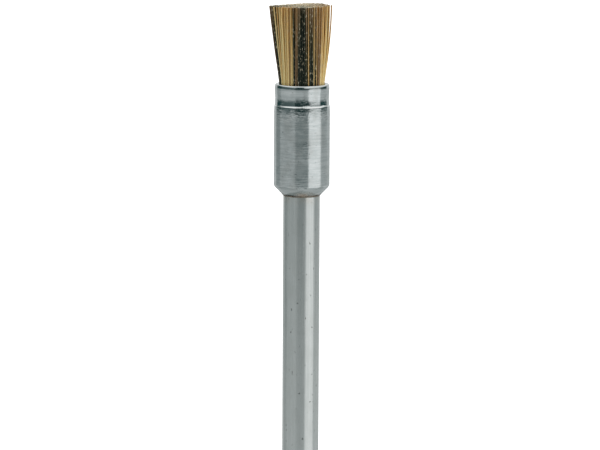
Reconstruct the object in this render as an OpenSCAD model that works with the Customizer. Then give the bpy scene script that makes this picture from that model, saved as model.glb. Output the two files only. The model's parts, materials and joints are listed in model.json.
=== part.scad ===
// Wire end brush for a rotary tool.
// A ground steel shank is riveted and brazed into a drawn steel cup, and the
// swaged mouth of the cup grips a bundle of straight brass wires.
// Millimetres, +Z up along the shank. The origin is the centre of the shank's lower end.
// The wires are drawn as tufts round a small core. Each tuft is cut at the mouth of
// the cup: its root is held in the cup, and its free length flexes outwards there.

/* [Shank] */
// Diameter of the shank, which a collet grips
shank_d = 3.175; // [2.3:0.005:3.9]
// Length of the shank below the cup
shank_len = 27.5; // [15:0.5:45]
// Chamfer round the lower end
shank_chamfer = 0.3; // [0.1:0.05:0.6]
// Depth of the grinding wheel's run-out, under the braze
run_out = 0.01; // [0:0.005:0.05]
// Diameter of the spigot that passes through the cup's floor
spigot_d = 2; // [1.2:0.05:2.2]
// Height of the rivet head inside the cup
rivet_h = 0.35; // [0.2:0.05:0.6]

/* [Cup] */
// Outside diameter of the cup
cup_d = 4.82; // [4.4:0.02:6.5]
// Length of the cup from its lower face to its rim
cup_len = 9.65; // [6:0.05:14]
// Thickness of the cup's wall
cup_wall = 0.38; // [0.25:0.01:0.5]
// Thickness of the cup's floor
floor_t = 0.5; // [0.3:0.05:0.8]
// Height of the cone under the cup
cone_h = 0.85; // [0.5:0.05:1.4]
// How far the mouth is swaged in all round
swage_in = 0.05; // [0.02:0.01:0.14]
// Length of the swaged band below the rim
swage_len = 1.88; // [1:0.02:2.6]
// Height of the sloping shoulder under the band
shoulder_h = 0.08; // [0.04:0.02:0.3]
// Depth of the shallow waist in the band
waist_in = 0.02; // [0:0.005:0.04]
// How far the band flares out again below its waist
flare_out = 0.035; // [0:0.005:0.05]

/* [Braze] */
// Height of the braze on the cone
braze_up = 0.12; // [0.06:0.02:0.4]
// Length of the braze down the shank
braze_down = 0.15; // [0.1:0.05:1]

/* [Wires] */
// Diameter of a wire as drawn
wire_d = 0.2; // [0.16:0.01:0.3]
// Clearance between neighbouring wires, and between the wires and the cup
wire_gap = 0.02; // [0.01:0.005:0.06]
// Length of the wires above the rim
free_len = 6.72; // [4:0.02:12]
// Outward lean of the outer wires, in degrees
splay = 6.3; // [0:0.1:12]
// Number of tufts round the core
tuft_count = 12; // [6:1:18]

/* [Hidden] */
$fn = 48;
shank_r = shank_d / 2;
cup_r = cup_d / 2;
wire_r = wire_d / 2;

// Heights of the parts above the shank's lower end
cup_z = shank_len;
rim_z = cup_z + cup_len;
tip_z = rim_z + free_len;

// The shank is ground to size up to here, a little below the braze
ground_margin = 0.1;
ground_z = cup_z - braze_down - ground_margin;

// Clearance in the riveted joint, which the braze fills
seam = 0.01;
// Land of the cup's lower face outside the shank
neck_land = 0.03;
neck_r = shank_r + neck_land;
cone_slope = (cup_r - neck_r) / cone_h;
cone_wall = cup_wall * sqrt(1 + cone_slope * cone_slope);

// The inside of the cup follows its outside at one wall's thickness
bore_r = cup_r - cup_wall;
floor_r = neck_r + cone_slope * floor_t - cone_wall;
bore_z = cup_z + (bore_r - neck_r + cone_wall) / cone_slope;
mouth_out_r = cup_r - swage_in;
mouth_in_r = mouth_out_r - cup_wall;
waist_r = mouth_out_r - waist_in;
lip_r = cup_wall / 2;
spigot_r = spigot_d / 2;
rivet_side_gap = 0.12;
rivet_r = floor_r - rivet_side_gap;
rivet_z = cup_z + floor_t;
rivet_edge = rivet_h / 3;

// The bundle fills the mouth, and its feet stand on the rivet or where the bore begins
pitch = wire_d + wire_gap;
bundle_r = mouth_in_r - wire_gap;
foot_gap = 0.05;
foot_z = max(rivet_z + rivet_h, bore_z) + foot_gap;
outer_row_r = bundle_r - wire_r;
core_r = 2 * pitch;

// The wires flex just above the rim, where free lengths stand a hair off their roots
flex_z = rim_z + 0.03;
root_top_z = rim_z - 0.02;
free_h = tip_z - flex_z;
spread = free_h * tan(splay) / outer_row_r;

function two_digits(i) = str(i < 10 ? "0" : "", i);
function tuft_name(i) = str("tuft_", two_digits(i));
function root_name(i) = str("tuft_", two_digits(i), "_root");

// Points along an arc about [x, y], from angle a to angle b
function arc(x, y, r, a, b, steps) = [
    for (i = [0:steps])
        let (t = a + (b - a) * i / steps)
            [x + r * cos(t), y + r * sin(t)]
];

// The wires of one tuft lie in rows, and each row keeps half a pitch off the tuft's two sides
half_angle = 180 / tuft_count;
function side_angle(r) = asin(pitch / 2 / r);
function row_angle(r) = half_angle - side_angle(r);
function wires_in_row(r) = floor(row_angle(r) / side_angle(r) + 1e-6) + 1;
rows = [
    for (r = [outer_row_r:-pitch:core_r])
        if (side_angle(r) <= half_angle) r
];
// Each wire of a tuft as [radius, angle from the tuft's middle]
tuft_wires = [
    for (r = rows)
        let (n = wires_in_row(r))
            for (k = [0:n - 1])
                [r, n == 1 ? 0 : row_angle(r) * (2 * k / (n - 1) - 1)]
];

module at_tuft(i) {
    rotate([0, 0, (i - 0.5) * 360 / tuft_count])
        children();
}

// A straight wire that leans outwards, from height z to height z + h at radius r
module wire(r, z, h, lean) {
    translate([r, 0, z])
        rotate([0, lean, 0])
            cylinder(h = h / cos(lean), r = wire_r);
}

module shank() {
    profile = [
        [0, 0],
        [shank_r - shank_chamfer, 0],
        [shank_r, shank_chamfer],
        [shank_r, ground_z],
        [shank_r - run_out, cup_z],
        [spigot_r, cup_z],
        [spigot_r, rivet_z],
        [rivet_r, rivet_z],
        [rivet_r, rivet_z + rivet_edge],
        [rivet_r - rivet_edge, rivet_z + rivet_h],
        [0, rivet_z + rivet_h]
    ];
    color("silver")
        rotate_extrude()
            polygon(profile);
}

module cup() {
    band_z = rim_z - swage_len;
    lip_z = rim_z - lip_r;
    lip_steps = 10;
    outside = [
        [spigot_r + seam, cup_z],
        [neck_r, cup_z],
        [cup_r, cup_z + cone_h],
        [cup_r, band_z],
        [waist_r + flare_out, band_z + shoulder_h],
        [waist_r + flare_out * 0.4, band_z + swage_len * 0.2],
        [waist_r, band_z + swage_len * 0.45],
        [mouth_out_r - waist_in / 4, band_z + swage_len * 0.7]
    ];
    lip = arc(mouth_out_r - lip_r, lip_z, lip_r, 0, 180, lip_steps);
    inside = [
        [mouth_in_r, band_z],
        [bore_r, band_z - 4 * swage_in],
        [bore_r, bore_z],
        [floor_r, cup_z + floor_t],
        [spigot_r + seam, cup_z + floor_t]
    ];
    color("lightsteelblue")
        rotate_extrude()
            polygon(concat(outside, lip, inside));
}

// The fillet of braze in the corner between the cone and the shank
module braze_fillet() {
    top_r = neck_r + cone_slope * braze_up + seam;
    hollow = 0.3;
    corner = [shank_r + seam, cup_z - seam];
    high = [top_r, cup_z + braze_up];
    low = [shank_r + seam, cup_z - braze_down];
    sag = (high + low) / 2 * (1 - hollow) + corner * hollow;
    color("darkkhaki")
        rotate_extrude()
            polygon([corner, low, sag, high, [neck_r + seam, cup_z - seam]]);
}

module core_wires() {
    color("goldenrod") {
        wire(0, foot_z, tip_z - foot_z, 0);
        for (k = [0:5])
            rotate([0, 0, 60 * k])
                wire(pitch, foot_z, tip_z - foot_z, 0);
    }
}

module tuft(i) {
    color("goldenrod")
        at_tuft(i)
            for (w = tuft_wires)
                rotate([0, 0, w[1]])
                    wire(w[0], flex_z, free_h, atan(w[0] * spread / free_h));
}

module tuft_root(i) {
    color("darkgoldenrod")
        at_tuft(i)
            for (w = tuft_wires)
                rotate([0, 0, w[1]])
                    wire(w[0], foot_z, root_top_z - foot_z, 0);
}

shank();
cup();
braze_fillet();
core_wires();
for (i = [1:tuft_count]) {
    tuft(i);
    tuft_root(i);
}
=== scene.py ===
import json
import math
import random

import bmesh
import bpy
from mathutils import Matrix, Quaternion, Vector, noise

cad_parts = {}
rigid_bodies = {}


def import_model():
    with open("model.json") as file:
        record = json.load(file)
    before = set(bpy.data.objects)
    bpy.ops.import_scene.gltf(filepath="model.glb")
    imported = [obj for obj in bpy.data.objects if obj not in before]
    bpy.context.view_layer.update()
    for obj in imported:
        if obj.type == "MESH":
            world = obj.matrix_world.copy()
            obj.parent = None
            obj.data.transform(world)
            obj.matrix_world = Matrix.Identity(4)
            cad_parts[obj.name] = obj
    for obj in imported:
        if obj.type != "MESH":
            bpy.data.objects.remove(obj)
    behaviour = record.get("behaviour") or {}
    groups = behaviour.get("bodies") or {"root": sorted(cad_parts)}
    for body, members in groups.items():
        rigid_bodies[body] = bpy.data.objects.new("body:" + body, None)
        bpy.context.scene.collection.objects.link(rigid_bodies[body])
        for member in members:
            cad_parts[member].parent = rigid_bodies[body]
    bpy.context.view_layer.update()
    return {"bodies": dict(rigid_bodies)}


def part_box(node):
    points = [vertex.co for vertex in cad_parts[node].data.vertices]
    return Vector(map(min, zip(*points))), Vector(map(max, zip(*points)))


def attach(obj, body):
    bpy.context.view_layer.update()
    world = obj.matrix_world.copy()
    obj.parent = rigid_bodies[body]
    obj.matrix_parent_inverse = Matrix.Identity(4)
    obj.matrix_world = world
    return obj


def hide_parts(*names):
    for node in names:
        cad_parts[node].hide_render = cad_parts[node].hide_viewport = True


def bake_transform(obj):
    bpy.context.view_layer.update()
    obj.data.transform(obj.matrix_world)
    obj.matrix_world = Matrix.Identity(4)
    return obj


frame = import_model()


# ---- Camera ----
# A long lens a little above the wires looks down on the brush. The shank runs out of
# the bottom of the picture.
mm = 0.001
tip_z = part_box("core_wires")[1].z
rim_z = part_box("cup")[1].z
camera_away = 300 * mm
camera_above_tip = 25.7 * mm
view_width = 51.85 * mm
aim_left = 0.12 * mm
aim_below_tip = 19.01 * mm
aim = Vector((-aim_left, 0, tip_z - aim_below_tip))
camera_roll = math.radians(0.3)

camera = bpy.data.objects.new("camera", bpy.data.cameras.new("camera"))
bpy.context.scene.collection.objects.link(camera)
camera.location = (aim.x, -camera_away, tip_z + camera_above_tip)
sight = aim - camera.location
camera.rotation_mode = "QUATERNION"
camera.rotation_quaternion = sight.to_track_quat("-Z", "Y") @ Quaternion((0, 0, 1), camera_roll)
camera.data.lens = camera.data.sensor_width * sight.length / view_width
camera.data.clip_start = 10 * mm
camera.data.clip_end = 10
bpy.context.scene.camera = camera


# ---- Shank ----
# A steel rod, centreless ground to a collet's size, with a chamfered lower end. Its spigot
# passes through the cup's floor and is riveted over inside.
shank_low, shank_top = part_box("shank")
cup_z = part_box("cup")[0].z
shank_r = shank_top.x
turned_steps = 144
shank_chamfer = 0.3 * mm
shank_edge = 0.06 * mm
ground_z = cup_z - 0.25 * mm
run_out = 0.003 * mm
run_out_length = 0.03 * mm
spigot_r = 1 * mm
cup_floor = 0.5 * mm
floor_top = cup_z + cup_floor
rivet_r = 1.29 * mm
rivet_chamfer = 0.12 * mm
rivet_edge = 0.04 * mm
shank_grey = (0.56, 0.60, 0.59)
shank_light_grey = (0.67, 0.70, 0.69)
shank_cloud = (0.50, 0.53, 0.51)
pit_colour = (0.17, 0.17, 0.15)
heat_tint = (0.60, 0.50, 0.38)
noise_roughness = 0.55


def ring_edges(bm, radius, z):
    """The edges of the ring that a point of the outline makes when it is spun."""
    near = 1e-4 * mm

    def on_ring(v):
        return abs(v.co.z - z) < near and abs(math.hypot(v.co.x, v.co.y) - radius) < near

    return [e for e in bm.edges if on_ring(e.verts[0]) and on_ring(e.verts[1])]


def turned(name, outline, closed=False):
    """A turned piece. Each point of its outline is (radius, height, rounding of that edge)."""
    bm = bmesh.new()
    points = [bm.verts.new((r, 0, z)) for r, z, _ in outline]
    for a, b in zip(points, points[1:] + points[:1] if closed else points[1:]):
        bm.edges.new((a, b))
    bmesh.ops.spin(
        bm, geom=bm.verts[:] + bm.edges[:], cent=(0, 0, 0), axis=(0, 0, 1),
        angle=math.tau, steps=turned_steps, use_merge=True,
    )
    same_place = 1e-5 * mm
    bmesh.ops.remove_doubles(bm, verts=bm.verts, dist=same_place)
    bmesh.ops.recalc_face_normals(bm, faces=bm.faces)
    for r, z, rounding in outline:
        if rounding:
            bmesh.ops.bevel(
                bm, geom=ring_edges(bm, r, z), offset=rounding, offset_type="OFFSET",
                segments=4, profile=0.5, affect="EDGES", material=-1, clamp_overlap=True,
            )
    return finished(name, bm)


def finished(name, bm):
    """The piece as a smooth-shaded object, with its flat faces kept flat by weighted normals."""
    for f in bm.faces:
        f.smooth = True
    mesh = bpy.data.meshes.new(name)
    bm.to_mesh(mesh)
    bm.free()
    piece = bpy.data.objects.new(name, mesh)
    bpy.context.scene.collection.objects.link(piece)
    piece.modifiers.new("flat faces", "WEIGHTED_NORMAL").keep_sharp = True
    return piece


def put_node(tree, kind, inputs=(), **settings):
    """A shader node with its settings, and inputs as {socket: value or another node's output}."""
    made = tree.nodes.new("ShaderNode" + kind)
    for key, value in settings.items():
        setattr(made, key, value)
    for socket, value in dict(inputs).items():
        if isinstance(value, bpy.types.NodeSocket):
            tree.links.new(value, made.inputs[socket])
        else:
            made.inputs[socket].default_value = value
    return made


class Finish:
    """A metal finish: its nodes are added one at a time, and read the piece's own coordinates."""

    def __init__(self, name):
        self.material = bpy.data.materials.new(name)
        self.material.use_nodes = True
        self.tree = self.material.node_tree
        self.metal = self.tree.nodes["Principled BSDF"]
        self.metal.inputs["Metallic"].default_value = 1
        self.place = self.tree.nodes.new("ShaderNodeTexCoord").outputs["Object"]

    def put(self, kind, inputs=(), **settings):
        """A node of this finish."""
        return put_node(self.tree, kind, inputs, **settings)

    def marks(self, length, detail):
        """Noise from 0 to 1 whose grains have the given length along X, Y and Z."""
        stretch = self.put("Mapping", {"Vector": self.place, "Scale": [1 / x for x in length]})
        grain = self.put(
            "TexNoise",
            {"Vector": stretch.outputs[0], "Scale": 1, "Detail": detail, "Roughness": noise_roughness},
        )
        return grain.outputs["Fac"]

    def spread(self, value, low, high, to_low=0.0, to_high=1.0):
        """The value, stretched so that low becomes to_low and high becomes to_high."""
        stretched = self.put(
            "MapRange",
            {"Value": value, "From Min": low, "From Max": high, "To Min": to_low, "To Max": to_high},
            interpolation_type="SMOOTHSTEP",
        )
        return stretched.outputs["Result"]

    def height(self):
        """The height of each point above the shank's lower end."""
        return self.put("SeparateXYZ", {0: self.place}).outputs["Z"]

    def times(self, a, b):
        """The product of a and b."""
        return self.put("Math", {0: a, 1: b}, operation="MULTIPLY").outputs[0]

    def mixed(self, share, a, b):
        """Colour a where the share is 0, and colour b where it is 1."""
        a, b = (c if isinstance(c, bpy.types.NodeSocket) else (*c, 1) for c in (a, b))
        return self.put("Mix", {0: share, 6: a, 7: b}, data_type="RGBA").outputs[2]

    def bumps(self, *layers):
        """Bumps, each given as (noise, depth), one on top of the other."""
        normal = None
        for grain, depth in layers:
            inputs = {"Height": grain, "Distance": depth, "Strength": 1}
            if normal:
                inputs["Normal"] = normal
            normal = self.put("Bump", inputs).outputs[0]
        self.tree.links.new(normal, self.metal.inputs["Normal"])

    def set(self, colour, roughness):
        """The finished material, with this colour and this roughness."""
        self.tree.links.new(colour, self.metal.inputs["Base Color"])
        self.tree.links.new(roughness, self.metal.inputs["Roughness"])
        return self.material


def ground_steel():
    """Dull ground steel with faint streaks along it, small pits, and a heat tint near the braze."""
    steel = Finish("ground_steel")
    streaks = steel.marks((0.11 * mm, 0.11 * mm, 7 * mm), detail=4)
    clouds = steel.marks((0.8 * mm, 0.8 * mm, 1.4 * mm), detail=4)
    grain = steel.marks((0.06 * mm, 0.06 * mm, 0.09 * mm), detail=2)
    pits = steel.spread(steel.marks((0.3 * mm, 0.3 * mm, 0.42 * mm), detail=2), 0.69, 0.75)
    grey = steel.mixed(steel.spread(streaks, 0.32, 0.7), shank_grey, shank_light_grey)
    grey = steel.mixed(steel.spread(clouds, 0.4, 0.7, 0, 0.3), grey, shank_cloud)
    grey = steel.mixed(steel.times(pits, 0.7), grey, pit_colour)
    heat = steel.spread(steel.height(), cup_z - 0.9 * mm, cup_z - 0.1 * mm, 0, 0.2)
    grey = steel.mixed(steel.times(heat, steel.spread(clouds, 0.3, 0.6)), grey, heat_tint)
    steel.bumps(
        (streaks, 0.0012 * mm),
        (clouds, 0.002 * mm),
        (grain, 0.0004 * mm),
        (pits, -0.004 * mm),
    )
    return steel.set(grey, steel.spread(streaks, 0.3, 0.75, 0.17, 0.27))


shank = turned("ground_shank", [
    (0, shank_low.z, 0),
    (shank_r - shank_chamfer, shank_low.z, shank_edge),
    (shank_r, shank_low.z + shank_chamfer, shank_edge),
    (shank_r, ground_z, 0),
    (shank_r - run_out, cup_z - run_out_length, 0),
    (shank_r - run_out, cup_z, 0),
    (spigot_r, cup_z, 0),
    (spigot_r, floor_top, 0),
    (rivet_r, floor_top, 0),
    (rivet_r, floor_top + rivet_chamfer, rivet_edge),
    (rivet_r - rivet_chamfer, shank_top.z, rivet_edge),
    (0, shank_top.z, 0),
])
shank.data.materials.append(ground_steel())
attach(shank, "holder")
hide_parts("shank")


# ---- Cup ----
# A drawn steel cup, skimmed on a lathe and riveted to the shank through its floor. Its mouth is swaged
# in to grip the wires, which leaves a bright shoulder with a painted highlight on its edge, a shallow
# waist and a rounded rim.
cup_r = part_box("cup")[1].x
wall = 0.38 * mm
seam = 0.01 * mm
neck_r = shank_r + 0.03 * mm
cone_height = 0.81 * mm
cone_top = cup_z + cone_height
cone_edge = 0.15 * mm
cup_floor_r = 1.58 * mm
bore_r = cup_r - wall
bore_z = cup_z + 1.05 * mm
swage = 0.05 * mm
swage_slope = 4 * swage
mouth_r = cup_r - swage
mouth_edge = 0.1 * mm
band_length = 1.88 * mm
band_z = rim_z - band_length
shoulder_top = band_z + 0.13 * mm
waist_r = cup_r - 0.09 * mm
waist_z = band_z + 0.68 * mm
flare = 0.03 * mm
upper_band_r = mouth_r - 0.014 * mm
upper_band_z = rim_z - 0.6 * mm
lip_height = 0.34 * mm
lip_in = 0.09 * mm
lip_steps = 8
edge_wear = 0.018 * mm
edge_wear_length = 0.65 * mm
cup_grey = (0.55, 0.60, 0.60)
cup_light_grey = (0.66, 0.70, 0.70)
cup_cloud = (0.52, 0.54, 0.52)
nick_colour = (0.22, 0.24, 0.24)
heat_stain = (0.30, 0.23, 0.16)
painted_highlight_white = (0.95, 0.96, 0.95)


def turned_steel():
    """Bright turned steel: fine marks run round it, and the edge of the swaged shoulder carries a
    painted highlight.
    """
    steel = Finish("turned_steel")
    fine = steel.marks((3 * mm, 3 * mm, 0.045 * mm), detail=3)
    broad = steel.marks((1.4 * mm, 1.4 * mm, 0.16 * mm), detail=2)
    clouds = steel.marks((0.9 * mm, 0.9 * mm, 1.6 * mm), detail=3)
    patches = steel.spread(steel.marks((1.5 * mm, 1.5 * mm, 2.2 * mm), detail=1), 0.44, 0.6, 0.12, 1)
    flecks = steel.marks((0.35 * mm, 0.35 * mm, 0.7 * mm), detail=3)
    rub = steel.marks((0.55 * mm, 0.55 * mm, 0.13 * mm), detail=2)
    nicks = steel.spread(steel.marks((0.5 * mm, 0.5 * mm, 0.12 * mm), detail=2), 0.68, 0.74)
    stains = steel.marks((0.9 * mm, 0.9 * mm, 0.7 * mm), detail=3)
    x = steel.put("SeparateXYZ", {0: steel.place}).outputs["X"]
    z = steel.height()
    grey = steel.mixed(steel.spread(broad, 0.3, 0.7), cup_grey, cup_light_grey)
    grey = steel.mixed(steel.spread(clouds, 0.4, 0.75, 0, 0.4), grey, cup_cloud)
    grey = steel.mixed(steel.times(nicks, 0.5), grey, nick_colour)
    heat = steel.spread(z, cup_z + 0.6 * mm, cup_z + 0.15 * mm, 0, 0.85)
    middle = steel.times(steel.spread(x, -0.9 * mm, 0.1 * mm), steel.spread(x, 1.6 * mm, 0.7 * mm))
    stained = steel.times(heat, steel.times(middle, steel.spread(stains, 0.3, 0.55)))
    grey = steel.mixed(stained, grey, heat_stain)
    # Painted highlight: a thin near-white line painted at the shoulder's edge
    over_edge = steel.spread(z, band_z - 0.01 * mm, band_z)
    shoulder_highlight = steel.times(over_edge, steel.spread(z, shoulder_top, band_z))
    grey = steel.mixed(shoulder_highlight, grey, painted_highlight_white)
    below = steel.spread(z, band_z - 1.6 * mm, band_z - 0.3 * mm)
    above = steel.spread(z, band_z + 1.2 * mm, band_z + 0.3 * mm)
    rubbed = steel.times(steel.times(below, above), steel.spread(clouds, 0.42, 0.62, 0.1, 1))
    steel.bumps(
        (steel.times(broad, patches), 0.003 * mm),
        (fine, 0.0006 * mm),
        (nicks, -0.003 * mm),
        (steel.times(flecks, patches), 0.005 * mm),
        (steel.times(rub, rubbed), 0.018 * mm),
    )
    unstained_or_glints = steel.put("Math", {0: 1.0, 1: stained}, operation="SUBTRACT").outputs[0]
    steel.tree.links.new(unstained_or_glints, steel.metal.inputs["Metallic"])
    return steel.set(grey, steel.spread(clouds, 0.3, 0.7, 0.1, 0.2))


sixths = [i / 6 for i in range(7)]
worn_edge = [(cup_r - edge_wear * t * t, band_z - edge_wear_length * (1 - t), 0) for t in sixths]
shoulder_in = waist_r + flare - (cup_r - edge_wear)
shoulder = [
    (cup_r - edge_wear + shoulder_in * t, band_z + (shoulder_top - band_z) * t, 0)
    for t in (0.15, 0.4, 0.6, 0.85)
]
band_flare = [
    (waist_r + flare * (1 - t) ** 2, shoulder_top + (waist_z - shoulder_top) * t, 0) for t in sixths
]
lip = []
for i in range(lip_steps + 1):
    round_lip = math.pi / 2 * i / lip_steps
    lip_r = mouth_r - lip_in * (1 - math.cos(round_lip))
    lip.append((lip_r, rim_z - lip_height * (1 - math.sin(round_lip)), 0))
cup = turned("swaged_cup", [
    (spigot_r + seam, cup_z, 0),
    (neck_r, cup_z, 0),
    (cup_r, cone_top, cone_edge),
    *worn_edge,
    *shoulder,
    *band_flare,
    (upper_band_r, upper_band_z, 0),
    *lip,
    (mouth_r - wall, rim_z, mouth_edge),
    (mouth_r - wall, band_z, 0),
    (bore_r, band_z - swage_slope, 0),
    (bore_r, bore_z, 0),
    (cup_floor_r, floor_top, 0),
    (spigot_r + seam, floor_top, 0),
], closed=True)
cup.data.materials.append(turned_steel())
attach(cup, "holder")
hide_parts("cup")


# ---- Braze ----
# A thin fillet of braze, melted into the corner between the cone and the shank. It is dull
# and brown, and uneven where it wetted the steel.
braze_in = shank_r + seam
braze_up = 0.07 * mm
braze_down = 0.05 * mm
braze_sag = 0.3
cone_slope = (cup_r - neck_r) / (cone_top - cup_z)
braze_brown = (0.26, 0.23, 0.18)
braze_dark_brown = (0.19, 0.15, 0.11)
bead_colour = (0.50, 0.48, 0.42)


def brown_braze():
    """Half-oxidised braze: brown in clouds, with small paler beads where it froze."""
    finish = Finish("brown_braze")
    clouds = finish.marks((0.5 * mm, 0.5 * mm, 0.35 * mm), detail=4)
    beads = finish.marks((0.12 * mm, 0.12 * mm, 0.1 * mm), detail=2)
    tint = finish.mixed(finish.spread(clouds, 0.35, 0.65), braze_brown, braze_dark_brown)
    tint = finish.mixed(finish.spread(beads, 0.6, 0.74, 0, 0.4), tint, bead_colour)
    finish.bumps((clouds, 0.006 * mm), (beads, 0.004 * mm))
    finish.metal.inputs["Metallic"].default_value = 0.4
    return finish.set(tint, finish.spread(clouds, 0.3, 0.7, 0.3, 0.5))


braze_low = Vector((braze_in, cup_z - braze_down))
braze_high = Vector((neck_r + cone_slope * braze_up + seam / 2, cup_z + braze_up))
corner = Vector((braze_in, cup_z - seam))
sag = [
    braze_low.lerp(braze_high, t).lerp(corner, braze_sag * 4 * t * (1 - t))
    for t in (0.25, 0.5, 0.75)
]
braze = turned("braze_ring", [
    (corner.x, corner.y, 0),
    (braze_low.x, braze_low.y, 0),
    *[(p.x, p.y, 0) for p in sag],
    (braze_high.x, braze_high.y, 0),
    (neck_r + seam, cup_z - seam, 0),
], closed=True)
braze.data.materials.append(brown_braze())
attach(braze, "holder")
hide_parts("braze_fillet")


# ---- Wires ----
# Some 600 straight brass wires, cropped square at the tip. They fill the mouth of the cup and
# splay above it, closer to each other in some places than in others.
wire_r = 0.072 * mm
wire_sides = 6
wire_pitch = 0.152 * mm
bundle_r = mouth_r - wall - 0.015 * mm
core_r = 0.4 * mm
foot_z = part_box("core_wires")[0].z
free_length = tip_z - rim_z
free_steps = 7
held_below_rim = 0.3 * mm
tuft_names = sorted(body for body in frame["bodies"] if body.startswith("tuft_"))
tuft_angle = math.tau / len(tuft_names)
# How the bundle splays: most at the sides, and a little to the left of upright there
spread_at_tip = 1.4
side_spread = 0.475
spread_stops_at = 0.92
most_deepened = 2
lean = Vector((-0.25 * mm, 0))
right_bow = 0.9
left_bow = 0.2
# How unlike each other the wires are
foot_shift = 0.012 * mm
bunching = 0.1 * mm
bunch_size = 0.42 * mm
loose = 0.03 * mm
stray = 0.16 * mm
stray_share = 0.07
bow_differs = 0.12
wave_size = 0.012 * mm
length_differs = 0.004 * mm
# How the cropped tips slant: up to the right, steeper and lower at the back, and a little higher
# in the middle
slant = 0.012
back_slant = 0.04
back_drop = 0.03 * mm
back_r = 2.8 * mm
crown = 0.03 * mm
# How dark each wire is painted by its direction: painted light and shade that darkens the wires facing
# the camera and lightens those toward the sides, with some tarnish in it. Directions are degrees round
# from the camera, to the right positive, and a tone from 0 for new brass to 1 for nearly black
painted_shade_and_tarnish = [
    (-180, 0.15), (-165, 0.3), (-156, 0.45), (-148, 0.1), (-128, 0.2), (-120, 0.66), (-106, 0.6),
    (-100, 0.3), (-94, 0.9), (-86, 0.9), (-84, 0.5), (-80, 0.5), (-78, 0.9), (-68, 0.9), (-65, 0.1),
    (-48, 0.15), (-38, 0.25), (-35, 0.5), (-32, 0.15), (-26, 0.05), (-24, 0.8), (-19, 0.85),
    (-17, 0.56), (-9, 0.6), (-7, 0.92), (8, 0.92), (11, 0.52), (22, 0.48), (25, 0.68), (28, 0.68),
    (31, 0.45), (52, 0.42), (56, 0.1), (70, 0.05), (80, 0.3), (90, 0.45), (104, 0.1), (112, 0.5),
    (120, 0.66), (128, 0.4), (140, 0.12), (165, 0.3), (180, 0.15),
]
tone_differs = 0.11
tone_drift = 0.1
drift_size = 0.3 * mm
# The shown tone starts at the palest and grows with the painted shade and tarnish. Toward the rim,
# wires below the middle tone get brighter and wires above it darker
palest = 0.16
tone_growth = 0.7
rim_contrast = 1.25
middle_tone = 0.4
# Brass from new to tarnished, down to the near-black of painted shade, as (tone, colour)
tones_of_brass = [
    (0, (1.0, 0.82, 0.41)), (0.2, (0.99, 0.69, 0.28)), (0.4, (0.70, 0.44, 0.18)),
    (0.62, (0.34, 0.22, 0.12)), (0.85, (0.08, 0.075, 0.04)), (1, (0.03, 0.04, 0.03)),
]
# Colour of the painted glints: pale specks painted on the darker wires
painted_glint_colour = (0.74, 0.66, 0.48)
sheared_brass = (0.72, 0.66, 0.42)
bright_shear = (0.90, 0.86, 0.64)
chance = random.Random(17)
noise.seed_set(5)


def brass_wire():
    """Drawn brass: each wire has its own tone, from bright to brown and nearly black, mostly painted
    light and shade by its direction from the camera, with pale painted glints on the darker wires.
    """
    finish = Finish("brass_wire")
    tone = finish.put("Attribute", attribute_name="tone", attribute_type="GEOMETRY").outputs["Fac"]
    drawn = finish.marks((0.03 * mm, 0.03 * mm, 1.5 * mm), detail=3)
    specks = finish.marks((0.12 * mm, 0.12 * mm, 0.3 * mm), detail=2)
    ramp = finish.put("ValToRGB", {0: tone})
    stops = ramp.color_ramp.elements
    stops[0].position, stops[1].position = 0, 1
    for place, _ in tones_of_brass[1:-1]:
        stops.new(place)
    for stop, (_, colour) in zip(stops, tones_of_brass):
        stop.color = (*colour, 1)
    # Painted glints: pale specks painted into the colour, more of them on darker wires
    unstained_or_glints = finish.times(finish.spread(specks, 0.58, 0.66), finish.spread(tone, 0.35, 0.8, 0.3, 0.8))
    colour = finish.mixed(unstained_or_glints, ramp.outputs[0], painted_glint_colour)
    finish.bumps((drawn, 0.0012 * mm), (specks, 0.003 * mm))
    finish.metal.inputs["Metallic"].default_value = 0.85
    return finish.set(colour, finish.spread(drawn, 0.3, 0.7, 0.26, 0.42))


def cropped_ends():
    """The cropped ends of the wires: pale sheared brass."""
    finish = Finish("cropped_ends")
    shear = finish.marks((0.04 * mm, 0.02 * mm, 0.04 * mm), detail=2)
    colour = finish.mixed(finish.spread(shear, 0.3, 0.7), sheared_brass, bright_shear)
    finish.bumps((shear, 0.004 * mm))
    finish.metal.inputs["Metallic"].default_value = 0.2
    return finish.set(colour, finish.spread(shear, 0.3, 0.7, 0.45, 0.6))


def straight_wire():
    """One upright wire on the axis, with rings close enough to bend above the rim."""
    bm = bmesh.new()
    end = bmesh.ops.create_circle(bm, cap_ends=True, radius=wire_r, segments=wire_sides)["verts"]
    bmesh.ops.translate(bm, verts=end, vec=(0, 0, foot_z))
    tip = list(bm.faces)
    heights = [rim_z - held_below_rim]
    heights += [rim_z + free_length * (i + 1) / free_steps for i in range(free_steps)]
    for z in heights:
        made = bmesh.ops.extrude_face_region(bm, geom=tip)["geom"]
        tip = [g for g in made if isinstance(g, bmesh.types.BMFace)]
        rise = z - tip[0].verts[0].co.z
        bmesh.ops.translate(bm, verts=list(tip[0].verts), vec=(0, 0, rise))
    bmesh.ops.recalc_face_normals(bm, faces=bm.faces)
    for f in bm.faces:
        f.smooth = abs(f.normal.z) < 0.5
        f.material_index = int(f.normal.z > 0.5)
        for e in f.edges:
            e.smooth = e.smooth and f.smooth
    mesh = bpy.data.meshes.new("straight_wire")
    bm.to_mesh(mesh)
    bm.free()
    return mesh


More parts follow.
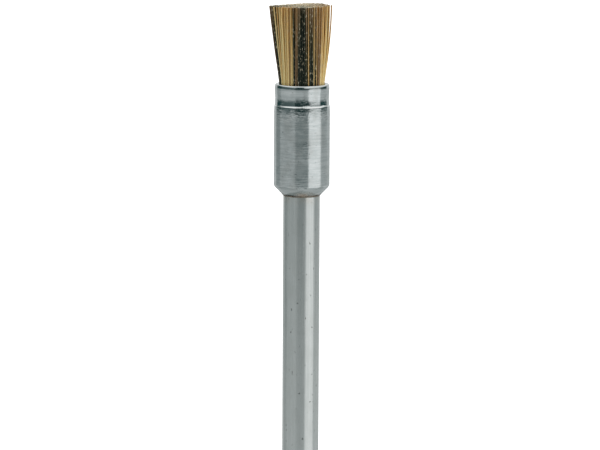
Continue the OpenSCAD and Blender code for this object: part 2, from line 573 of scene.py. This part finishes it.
def feet():
    """Where the wires stand: close-packed rows across the bore, each a little out of place."""
    rows = int(bundle_r / wire_pitch) + 2
    for row in range(-rows, rows + 1):
        for column in range(-rows, rows + 1):
            x = (column + (row % 2) / 2) * wire_pitch
            y = row * wire_pitch * math.sqrt(0.75)
            x += chance.uniform(-foot_shift, foot_shift)
            y += chance.uniform(-foot_shift, foot_shift)
            foot = Vector((x, y))
            if foot.length < bundle_r - wire_r:
                yield foot


def tone_of(foot):
    """How dark a wire is painted: painted light and shade by its direction from the camera, with
    tarnish that differs a little by chance.
    """
    way = math.degrees(math.atan2(foot.x, -foot.y))
    for (a, tone_a), (b, tone_b) in zip(painted_shade_and_tarnish, painted_shade_and_tarnish[1:]):
        if a <= way <= b:
            tone = tone_a + (tone_b - tone_a) * (way - a) / (b - a)
    tone += chance.gauss(0, tone_differs) + tone_drift * noise.noise(foot.to_3d() / drift_size)
    return min(1, max(0, tone))


def add_wire(bm, layer, wire, foot):
    """A copy of the straight wire, bent to where it lies in the bundle."""
    bunch = noise.noise_vector(Vector((foot.x, foot.y, 0)) / bunch_size)
    side = foot.x / bundle_r
    widest = bundle_r * spread_at_tip
    out = foot.x * (1 + side_spread * min(abs(side), spread_stops_at) ** 3)
    deeper = math.sqrt(widest ** 2 - out ** 2) / math.sqrt(bundle_r ** 2 - foot.x ** 2)
    tip = Vector((out, foot.y * min(most_deepened, deeper))) + lean * side ** 2
    tip += Vector((bunch.x, bunch.y)) * bunching
    astray = stray if chance.random() < stray_share else loose
    tip += Vector((chance.gauss(0, astray), chance.gauss(0, astray)))
    outside = foot.length / bundle_r
    bow = (right_bow if side > 0 else left_bow) * abs(side) + bow_differs * chance.uniform(-1, 1)
    wave = Vector((chance.gauss(0, 1), chance.gauss(0, 1))) * wave_size
    waves = chance.uniform(1, 2.5)
    phase = chance.uniform(0, math.tau)
    back = max(0, tip.y) / back_r
    longer = slant * tip.x + back * (back_slant * tip.x - back_drop) + crown * (1 - outside)
    longer += length_differs * chance.gauss(0, 1)
    tone = tone_of(foot)
    first = len(bm.verts)
    bm.from_mesh(wire)
    bm.verts.ensure_lookup_table()
    for v in bm.verts[first:]:
        up = max(0, (v.co.z - rim_z) / free_length)
        along = up + bow * up * (1 - up)
        at = foot.lerp(tip, along) + wave * up * math.sin(phase + waves * math.tau * up)
        v.co = (v.co.x + at.x, v.co.y + at.y, v.co.z + longer * up)
        shown = palest + tone_growth * tone + rim_contrast * (tone - middle_tone) * (1 - up)
        v[layer] = min(1, max(0, shown))


plain_wire = straight_wire()
brass, ends = brass_wire(), cropped_ends()
bundle = {name: bmesh.new() for name in ["core"] + tuft_names}
tones = {name: bm.verts.layers.float.new("tone") for name, bm in bundle.items()}
for foot in feet():
    sector = int(math.atan2(foot.y, foot.x) % math.tau / tuft_angle)
    name = "core" if foot.length < core_r else tuft_names[sector]
    add_wire(bundle[name], tones[name], plain_wire, foot)
for name, bm in bundle.items():
    mesh = bpy.data.meshes.new(name + "_wires")
    bm.to_mesh(mesh)
    bm.free()
    piece = bpy.data.objects.new(name + "_brass", mesh)
    bpy.context.scene.collection.objects.link(piece)
    mesh.materials.append(brass)
    mesh.materials.append(ends)
    if name == "core":
        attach(piece, "holder")
        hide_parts("core_wires")
    else:
        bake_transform(piece)
        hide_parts(name, name + "_root")
bpy.data.meshes.remove(plain_wire)


# ---- Floor ----
# A plain white floor under the shank's end. It can't be seen from below or in the metal.
stage_r = 1.2
stage_gap = 0.02 * mm
bm = bmesh.new()
bmesh.ops.create_circle(bm, cap_ends=True, radius=stage_r, segments=96)
bmesh.ops.translate(bm, verts=bm.verts, vec=(0, 0, shank_low.z - stage_gap))
floor_mesh = bpy.data.meshes.new("floor")
bm.to_mesh(floor_mesh)
bm.free()
floor = bpy.data.objects.new("floor", floor_mesh)
bpy.context.scene.collection.objects.link(floor)
floor.visible_glossy = False
white = bpy.data.materials.new("white_floor")
white.use_nodes = True
tree = white.node_tree
tree.nodes.clear()
lit = put_node(tree, "BsdfDiffuse", {"Color": (0.9, 0.9, 0.9, 1)}).outputs[0]
glow = put_node(tree, "Emission", {"Strength": 0.75}).outputs[0]
bright = put_node(tree, "AddShader", {0: lit, 1: glow}).outputs[0]
to_camera = put_node(tree, "LightPath").outputs["Is Camera Ray"]
upper_side = put_node(tree, "MixShader", {0: to_camera, 1: lit, 2: bright}).outputs[0]
from_below = put_node(tree, "NewGeometry").outputs["Backfacing"]
clear = put_node(tree, "BsdfTransparent").outputs[0]
one_way = put_node(tree, "MixShader", {0: from_below, 1: upper_side, 2: clear}).outputs[0]
put_node(tree, "OutputMaterial", {"Surface": one_way})
floor_mesh.materials.append(white)


# ---- Studio ----
# A white tent with a dark gap at the camera, a broad soft light on the right, a weaker one on
# the left, dark strips at eye level and a soft light overhead.
# Each ring is (elevation, brightness by direction), with directions in degrees round from the
# camera, to the right positive
rings = [
    (-80, [(-180, 0.48), (180, 0.48)]),
    (-62, [(-180, 0.5), (-90, 0.45), (-20, 0.36), (20, 0.44), (60, 0.66), (120, 0.46), (180, 0.5)]),
    (-46, [(-180, 0.45), (-30, 0.45), (-24, 0.9), (10, 0.9), (16, 0.45), (180, 0.45)]),
    (-28, [
        (-180, 0.5), (-136, 0.5), (-130, 0.35), (-66, 0.35), (-60, 0.55), (-32, 0.55), (-26, 0.1),
        (22, 0.1), (28, 0.85), (80, 0.85), (86, 0.35), (108, 0.35), (114, 0.5), (180, 0.5),
    ]),
    (-13, [
        (-180, 0.4), (-168, 0.4), (-162, 0.6), (-134, 0.6), (-130, 0.52), (-104, 0.52), (-99, 0.6),
        (-29, 0.62), (-24, 0.66), (23, 0.66), (28, 0.98), (82, 0.98), (88, 0.7), (124, 0.7),
        (130, 0.6), (162, 0.6), (168, 0.4), (180, 0.4),
    ]),
    (-6.5, [
        (-180, 0.34), (-168, 0.34), (-162, 0.56), (-134, 0.56), (-130, 0.28), (-104, 0.28),
        (-99, 0.45), (-29, 0.5), (-25, 0.25), (26, 0.25), (31, 1.0), (82, 1.0), (88, 0.42),
        (124, 0.42), (130, 0.5), (162, 0.5), (168, 0.34), (180, 0.34),
    ]),
    (-3, [
        (-180, 0.8), (-134, 0.6), (-128, 0.05), (-98, 0.05), (-90, 0.1), (-32, 0.14), (-28, 0.03),
        (28, 0.03), (34, 0.85), (80, 0.85), (86, 0.05), (124, 0.05), (130, 0.6), (180, 0.8),
    ]),
    (7, [
        (-180, 0.8), (-134, 0.6), (-128, 0.05), (-98, 0.05), (-90, 0.1), (-32, 0.14), (-28, 0.03),
        (38, 0.03), (46, 0.2), (78, 0.2), (84, 0.05), (124, 0.05), (130, 0.6), (180, 0.8),
    ]),
    (14, [
        (-180, 0.8), (-134, 0.6), (-128, 0.1), (-98, 0.1), (-90, 0.1), (-29, 0.14), (-24, 0.03),
        (8, 0.03), (13, 0.95), (118, 0.95), (124, 0.6), (180, 0.8),
    ]),
    (22, [(-180, 0.9), (-30, 0.9), (-24, 0.1), (6, 0.1), (12, 0.95), (180, 1.0)]),
    (27, [(-180, 0.9), (-30, 0.9), (-20, 0.85), (20, 0.85), (30, 1.0), (180, 1.0)]),
]
# Dark parts of the tent lose this much red, but keep this share of it
red_lost = 0.04
red_kept = 0.2

world = bpy.data.worlds.new("studio")
bpy.context.scene.world = world
world.use_nodes = True
sky = world.node_tree
sky.nodes.clear()


def ring_of(levels, direction):
    """The brightness by direction in one ring, with the directions from -180 to 180 as 0 to 1."""
    ramp = put_node(sky, "ValToRGB", {0: direction})
    stops = ramp.color_ramp.elements
    stops[0].position, stops[1].position = 0, 1
    for degrees, _ in levels[1:-1]:
        stops.new((degrees + 180) / 360)
    for stop, (_, level) in zip(stops, levels):
        red = max(red_kept * level, level - red_lost * (1 - level))
        stop.color = (red, level, level, 1)
    return ramp.outputs[0]


def mixed_sky(share, a, b):
    """Light a where the share is 0, and light b where it is 1."""
    return put_node(sky, "Mix", {0: share, 6: a, 7: b}, data_type="RGBA").outputs[2]


seen_along = put_node(sky, "TexCoord").outputs["Generated"]
x, y, z = put_node(sky, "SeparateXYZ", {0: seen_along}).outputs
ahead = put_node(sky, "Math", {0: y, 1: -1.0}, operation="MULTIPLY").outputs[0]
round_from_camera = put_node(sky, "Math", {0: x, 1: ahead}, operation="ARCTAN2").outputs[0]
whole_round = {"Value": round_from_camera, "From Min": -math.pi, "From Max": math.pi}
direction = put_node(sky, "MapRange", whole_round).outputs[0]
elevation = put_node(sky, "Math", {0: z}, operation="ARCSINE").outputs[0]
sky_light = ring_of(rings[0][1], direction)
for (below, _), (above, levels) in zip(rings, rings[1:]):
    between = {"Value": elevation, "From Min": math.radians(below), "From Max": math.radians(above)}
    rise = put_node(sky, "MapRange", between).outputs[0]
    sky_light = mixed_sky(rise, sky_light, ring_of(levels, direction))
seen_by_camera = put_node(sky, "LightPath").outputs["Is Camera Ray"]
sky_light = mixed_sky(seen_by_camera, sky_light, (1, 1, 1, 1))
background = put_node(sky, "Background", {"Color": sky_light, "Strength": 1})
put_node(sky, "OutputWorld", {"Surface": background.outputs[0]})

bpy.context.scene.view_settings.view_transform = "Standard"
